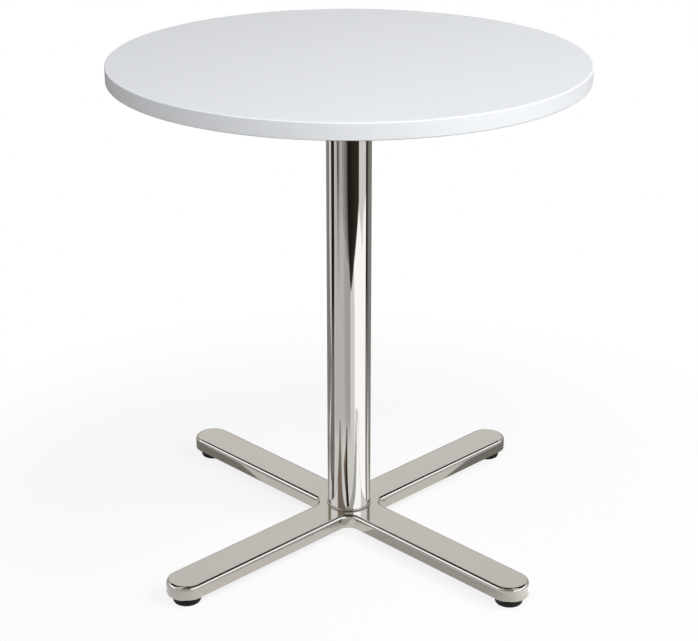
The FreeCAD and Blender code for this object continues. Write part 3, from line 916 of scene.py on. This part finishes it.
class CAFE_TABLE_OT_base(bpy.types.Operator):
    """Make the X-shaped polished base, ribbed underneath"""

    bl_idname = "cafe_table.base"
    bl_label = "Base"

    def execute(self, context):
        base = context.scene.cafe_table_base
        bm = bmesh.new()
        add_base_shell(bm, base)
        add_column_seat(bm, base, context.scene.cafe_table_column)
        fill_flat(bm, BASE_LOW.z + base.leg_thickness)
        for spin in quarter_turns():
            add_leg_cavity(bm, base, spin)
        fill_flat(bm, BASE_LOW.z)
        for spin in quarter_turns():
            add_leg_ribs(bm, base, spin)
        finish = polished_casting(base.tint, base.roughness)
        make_piece("base", bm, finish, "polished_base", BODY, "base_casting")
        return {"FINISHED"}


class CAFE_TABLE_OT_feet(bpy.types.Operator):
    """Make the four levelling feet: moulded pads and threaded studs"""

    bl_idname = "cafe_table.feet"
    bl_label = "Levelling Feet"

    def execute(self, context):
        feet = context.scene.cafe_table_feet
        rubber = moulded_pad(feet.colour)
        zinc = zinc_steel(context.scene)
        for foot, spin in zip(FEET, quarter_turns()):
            centre = (spin @ Vector((FOOT_CIRCLE, 0, 0))).xy
            self.make_pad(foot, feet, centre, rubber)
            self.make_stud(foot, feet, centre, zinc)
        return {"FINISHED"}

    def make_pad(self, foot, feet, centre, finish):
        radius = PAD_HIGH.x - FOOT_CIRCLE
        shank = feet.stud_radius + feet.clearance
        flange = STUD_HIGH.x - FOOT_CIRCLE + feet.clearance
        room_low = STUD_LOW.z - feet.clearance
        room_high = STUD_LOW.z + feet.flange_thickness + feet.clearance
        bm = bmesh.new()
        corners = [
            (0, PAD_LOW.z),
            (feet.sole_radius, PAD_LOW.z),
            (radius, PAD_LOW.z + feet.skirt),
            (radius, PAD_HIGH.z),
            (shank, PAD_HIGH.z),
            (shank, room_high),
            (flange, room_high),
            (flange, room_low),
            (0, room_low),
        ]
        rounded = [(1, feet.sole_edge), (2, feet.skirt / 3), (3, feet.upper_edge)]
        turn(bm, corners, feet.steps, centre, closed=False, rounded=rounded)
        make_piece(f"{foot}_pad_moulding", bm, finish, "black_foot", f"{foot}_pad", f"{foot}_foot_pad")

    def make_stud(self, foot, feet, centre, finish):
        flange = STUD_HIGH.x - FOOT_CIRCLE
        low, high = STUD_LOW.z, STUD_LOW.z + feet.flange_thickness
        bm = bmesh.new()
        turn(bm, upright(0, flange, low, high), BOSS_STEPS, centre, closed=False)
        thread(bm, feet.stud_radius, feet.pitch, high - feet.pitch, STUD_HIGH.z, centre)
        make_piece(f"{foot}_threaded_stud", bm, finish, "zinc_steel", f"{foot}_stud", f"{foot}_foot_stud")


# Stage

# Tones of the cards, against a white of 1.
TONES = {
    "black": (0, 0, 0),
    "soot": (0.012, 0.009, 0.007),
    "peat": (0.05, 0.04, 0.03),
    "umber": (0.10, 0.07, 0.05),
    "slate": (0.26, 0.25, 0.24),
    "grey": (0.30, 0.29, 0.28),
    "drab": (0.46, 0.40, 0.35),
    "silver": (0.56, 0.56, 0.56),
    "pearl": (0.76, 0.76, 0.76),
    "white": (1, 1, 1),
    "lamp": (1.6, 1.6, 1.6),
    "softbox": (1.85, 1.96, 2.15),
    "strobe": (3, 3.3, 3.75),
}
# Cards on the floor that only the polished metal sees, each lying on the one before. A row has its corners'
# bearings in degrees to the right of the camera's side, then a distance from the column in metres and a tone,
# one for all or one for each corner.
FLOOR_CARDS = {
    "left_haze": (
        ((-76, -30, -4, 7), 3.4, "pearl pearl silver silver"),
        ((-76, -30, -4, 7), 0.45, "pearl pearl silver silver"),
        ((-76, -30, -4, 7), 0.33, "white"),
    ),
    "left_flag": (
        ((-102, -79), 3.4, "soot"),
        ((-101, -79), 1.4, "soot peat"),
        ((-101, -80), 1.0, "peat"),
        ((-102, -80), 0.66, "slate"),
        ((-116, -80), 0.3, "slate"),
        ((-112, -80), 0.22, "slate"),
        ((-98, -80), 0.17, "slate umber"),
        ((-88, -76), 0.07, "black"),
    ),
    "left_streak": (
        ((-64, -62, -53, -42), 3.4, "pearl umber slate pearl"),
        ((-64, -62, -53, -42), 2.0, "pearl umber slate pearl"),
        ((-64, -61, -52, -42), 1.5, "pearl drab silver pearl"),
        ((-64, -61, -52, -42), 1.0, "pearl"),
    ),
    "front_flag": (
        ((-46, -16, -4, 51), 3.4, "pearl slate soot peat"),
        ((-44, -13, -4, 51), 1.7, "pearl slate soot peat"),
        ((-38, -11, -3, 46), 1.6, "pearl slate soot peat"),
        ((-24, -7, -1, 38), 1.42, "pearl slate soot peat"),
        ((-6, 1, 4, 25), 1.25, "pearl slate soot peat"),
        ((8, 9, 10, 12), 1.09, "pearl slate soot peat"),
    ),
    "right_flag": (
        ((93, 97, 110, 118), 3.4, "umber soot umber grey"),
        ((94, 98, 108, 118), 1.1, "umber soot umber grey"),
        ((94, 98, 108, 118), 0.66, "grey"),
        ((94, 97, 102, 106), 0.3, "grey"),
        ((88, 89, 90, 91), 0.07, "peat"),
    ),
    "right_panel": (
        ((52, 58, 68, 80, 94), (1.64, 1.54, 1.44, 1.62, 1.76), "lamp lamp white lamp lamp"),
        ((38, 48, 68, 80, 94), (1.42, 1.38, 1.28, 1.38, 1.38), "lamp"),
        ((25, 40, 68, 80, 94), (1.25, 1.2, 1.1, 1.1, 1.1), "lamp"),
        ((29, 40, 68, 80, 94), 0.95, "lamp"),
        ((29, 40, 68, 80, 88), 0.07, "lamp"),
    ),
    "back_panel": (
        ((118, 150, 180, 215, 242), 3.4, "grey"),
        ((118, 150, 180, 215, 242), 1.4, "grey"),
        ((118, 150, 180, 215, 257), 0.66, "grey"),
        ((122, 150, 180, 215, 238), 0.4, "grey"),
        ((128, 150, 180, 215, 232), 0.07, "grey"),
    ),
    "core_flag": (
        ((-13, -10, -8), 0.4, "drab umber soot"),
        ((-27, -16, -8), 0.25, "drab umber soot"),
        ((-15, -9, -3), 0.15, "umber soot soot"),
        ((-9, -3, 2), 0.1, "soot"),
    ),
    "right_shade": (
        ((33, 43, 56), (0.47, 0.47, 0.44), "white white lamp"),
        ((32.1, 40.6, 54), (0.379, 0.401, 0.4), "pearl white lamp"),
        ((30.4, 36, 39.5), (0.3, 0.305, 0.31), "silver"),
        ((-6, 5, 15.4), (0.095, 0.07, 0.0573), "silver"),
    ),
}
# The shade under each leg: how far it reaches to both sides of the leg's bearing, at two distances.
FIRST_LEG_BEARING = 44.6
LEG_SHADE = ((4.3, 0.361), (28.4, 0.057))
# Standing cards: a tone, two bearings, and the heights of their lower and upper edge in metres.
STANDING_CARDS = {
    "front_flag_high": ("black", (-24, 26), (1.8, 3.2)),
    "front_flag_top": ("black", (-45, 45), (3.2, 14)),
    "left_wall": ("drab", (-62, -20), (1.3, 2.2)),
    "left_softbox": ("softbox", (-112, -64), (1.0, 2.9)),
    "left_flag_high": ("black", (-112, -88), (2.95, 5.0)),
    "left_back_wall": ("drab", (-150, -121), (1.3, 2.1)),
    "left_back_flag_high": ("black", (-172, -112), (2.2, 5.3)),
    "right_softbox_low": ("lamp", (22, 70), (0.9, 1.15)),
    "right_strobe": ("strobe", (22, 70), (1.15, 1.72)),
    "right_softbox_high": ("lamp", (22, 70), (1.72, 2.6)),
    "right_side_softbox": ("softbox", (64, 112), (1.0, 2.9)),
    "right_flag_high": ("black", (88, 112), (2.95, 5.0)),
    "right_back_wall": ("drab", (121, 150), (1.3, 2.1)),
    "right_back_flag_high": ("black", (112, 172), (2.2, 5.3)),
    "back_wall": ("umber", (150, 210), (0, 0.6)),
}
# A low wall all round but behind the table: its sides, the bearings between which they stand in turn, and the
# tone at each height, white at the foot.
LOW_WALLS = ("left_back", "left", "left_front", "front", "right_front", "right", "right_back")
LOW_WALL_BEARINGS = (-150, -112, -64, -22, 22, 64, 112, 150)
LOW_WALL_LEVELS = ((0.1, "white"), (0.5, "drab"), (0.9, "drab"))
CARD_HEIGHT = 1 * MILLIMETRE
# Lamps: a bearing, a distance from the column and a height.
KEY_LAMP = (62, 2.6, 2.76)
FRONT_LAMP = (-5, 2.8, 2.9)


def mirrored_rays(finish):
    """1 for what a mirror or glass shows, and 0 for what the camera or a dull surface meets."""
    mirrored = finish.node("LightPath", output="Is Glossy Ray")
    through = finish.node("LightPath", output="Is Transmission Ray")
    return mirrored.maths("MAXIMUM", mirrored, through)


def camera_rays(finish):
    return finish.node("LightPath", output="Is Camera Ray")


def stage_piece(name, bm, finish):
    piece = add_mesh(name, bm, finish)
    return piece


def ground(stage, bearing, distance):
    """A place on the floor from a bearing in degrees to the right of the camera's side, and a distance."""
    turned = stage.bearing + math.radians(bearing)
    return distance * math.sin(turned), -distance * math.cos(turned)


def leg_shade(leg):
    """The rows of a black floor card under a leg."""
    middle = FIRST_LEG_BEARING + 360 / LEG_COUNT * leg
    return [((middle - reach, middle + reach), distance, "black") for reach, distance in LEG_SHADE]


def add_lamp(name, stage, place, power):
    """A square lamp that looks at the top, placed by its bearing, distance and height."""
    lamp = bpy.data.lights.new(name, "AREA")
    lamp.size = stage.lamp_size
    lamp.energy = power
    holder = add_object(name, lamp)
    bearing, distance, height = place
    holder.location = (*ground(stage, bearing, distance), height)
    aim = Vector((0, 0, SHEET_HIGH.z)) - holder.location
    holder.rotation_euler = aim.to_track_quat("-Z", "Y").to_euler()
    holder.visible_glossy = False


class CAFE_TABLE_OT_stage(bpy.types.Operator):
    """Make the floor, the cards, the light and the camera"""

    bl_idname = "cafe_table.stage"
    bl_label = "Stage"

    def execute(self, context):
        stage = context.scene.cafe_table_stage
        self.make_floor(stage)
        self.make_cards(stage)
        self.light(context.scene, stage)
        self.set_camera(context.scene, stage)
        context.scene.view_settings.view_transform = "Standard"
        return {"FINISHED"}

    def make_floor(self, stage):
        """A floor that is white to the eye but keeps the table's shadow, and throws back a grey light."""
        bm = bmesh.new()
        bmesh.ops.create_circle(bm, cap_ends=True, segments=FLOOR_STEPS, radius=stage.floor_radius)
        finish = Finish("pale_floor")
        away = finish.node("VectorMath", {0: finish.place()}, output="Value", operation="LENGTH")
        reach = {"From Min": stage.shadow_near, "From Max": stage.shadow_far}
        faded = {"Value": away, **reach, "To Min": 1, "To Max": 0}
        near = finish.node("MapRange", faded, interpolation_type="SMOOTHSTEP")
        seen, mirrored = camera_rays(finish), mirrored_rays(finish)
        seen_white = seen * (1 - stage.shadow_share * near)
        white_share = seen_white + mirrored * (1 - stage.mirror_shadow_share * near)
        paint = finish.mix(seen + mirrored, stage.floor_colour, (1, 1, 1))
        dull = finish.node("BsdfDiffuse", {"Color": paint})
        white = finish.node("Emission", {"Color": (1, 1, 1)})
        mixed = finish.node("MixShader", {0: white_share, 1: dull, 2: white})
        finish.node("OutputMaterial", {"Surface": mixed})
        stage_piece("floor", bm, finish.material)

    def make_cards(self, stage):
        finish = Finish("card")
        tone = finish.node("Attribute", output="Color", attribute_name="tone")
        light = finish.node("Emission", {"Color": tone})
        finish.node("OutputMaterial", {"Surface": light})
        shades = {f"{foot}_leg_shade": leg_shade(leg) for leg, foot in enumerate(FEET)}
        for layer, (name, rows) in enumerate((FLOOR_CARDS | shades).items(), start=1):
            corners = [self.floor_row(stage, layer * CARD_HEIGHT, *row) for row in rows]
            self.make_card(name, corners, finish.material)
        standing = {
            name: (bearings, [(height, tone) for height in heights])
            for name, (tone, bearings, heights) in STANDING_CARDS.items()
        }
        for side, *bearings in zip(LOW_WALLS, LOW_WALL_BEARINGS, LOW_WALL_BEARINGS[1:]):
            standing[f"{side}_low_wall"] = (bearings, LOW_WALL_LEVELS)
        for name, (bearings, levels) in standing.items():
            places = [ground(stage, bearing, stage.card_distance) for bearing in bearings]
            corners = [[(*place, height, tone) for place in places] for height, tone in levels]
            self.make_card(name, corners, finish.material)

    @staticmethod
    def floor_row(stage, height, bearings, distances, tones):
        if not isinstance(distances, tuple):
            distances = (distances,) * len(bearings)
        tones = tones.split()
        if len(tones) == 1:
            tones *= len(bearings)
        places = [ground(stage, bearing, distance) for bearing, distance in zip(bearings, distances)]
        return [(*place, height, tone) for place, tone in zip(places, tones)]

    def make_card(self, name, rows, finish):
        """A grid of corners, each with a tone, that only mirrors show."""
        bm = bmesh.new()
        tones = bm.verts.layers.float_color.new("tone")
        grid = [[bm.verts.new(corner[:3]) for corner in row] for row in rows]
        for verts, row in zip(grid, rows):
            for vert, corner in zip(verts, row):
                vert[tones] = (*TONES[corner[3]], 1)
        for far, close in zip(grid, grid[1:]):
            for left in range(len(far) - 1):
                bm.faces.new((far[left], far[left + 1], close[left + 1], close[left]))
        card = stage_piece(name, bm, finish)
        for ray in ("camera", "diffuse", "transmission", "shadow"):
            setattr(card, f"visible_{ray}", False)

    def light(self, scene, stage):
        scene.world = bpy.data.worlds.new("soft_studio")
        sky = Finish("soft_studio", scene.world)
        seen = camera_rays(sky) + mirrored_rays(sky)
        soft = sky.node("Background", {"Color": (1, 1, 1), "Strength": stage.ambient})
        white = sky.node("Background", {"Color": (1, 1, 1)})
        mixed = sky.node("MixShader", {0: seen, 1: soft, 2: white})
        sky.node("OutputWorld", {"Surface": mixed})
        add_lamp("key_lamp", stage, KEY_LAMP, stage.key_power)
        add_lamp("front_lamp", stage, FRONT_LAMP, stage.front_power)

    def set_camera(self, scene, stage):
        camera = bpy.data.cameras.new("photo_camera")
        camera.lens = stage.lens
        place = add_object("photo_camera", camera)
        place.location = (*ground(stage, 0, stage.distance), stage.height)
        place.rotation_euler = (math.pi / 2 - stage.pitch, 0, stage.bearing)
        scene.camera = place


class CAFE_TABLE_PT_pieces(bpy.types.Panel):
    """The table's pieces, in the order in which they are made"""

    bl_label = "Cafe Table"
    bl_space_type = "VIEW_3D"
    bl_region_type = "UI"
    bl_category = "Cafe Table"

    def draw(self, context):
        for operator in OPERATORS:
            self.layout.operator(operator.bl_idname)


SETTINGS = {
    "cafe_table_top": CafeTableTop,
    "cafe_table_bracket": CafeTableBracket,
    "cafe_table_column": CafeTableColumn,
    "cafe_table_base": CafeTableBase,
    "cafe_table_feet": CafeTableFeet,
    "cafe_table_stage": CafeTableStage,
}
OPERATORS = (
    CAFE_TABLE_OT_top,
    CAFE_TABLE_OT_bracket,
    CAFE_TABLE_OT_column,
    CAFE_TABLE_OT_tie_rod,
    CAFE_TABLE_OT_base,
    CAFE_TABLE_OT_feet,
    CAFE_TABLE_OT_stage,
)
CLASSES = (*SETTINGS.values(), *OPERATORS, CAFE_TABLE_PT_pieces)


def register():
    for cls in CLASSES:
        bpy.utils.register_class(cls)
    for name, group in SETTINGS.items():
        setattr(bpy.types.Scene, name, PointerProperty(type=group))


def unregister():
    for name in SETTINGS:
        delattr(bpy.types.Scene, name)
    for cls in reversed(CLASSES):
        bpy.utils.unregister_class(cls)


def main():
    register()
    bpy.ops.cafe_table.top()
    bpy.ops.cafe_table.bracket()
    bpy.ops.cafe_table.column()
    bpy.ops.cafe_table.tie_rod()
    bpy.ops.cafe_table.base()
    bpy.ops.cafe_table.feet()
    bpy.ops.cafe_table.stage()


if __name__ == "__main__":
    main()
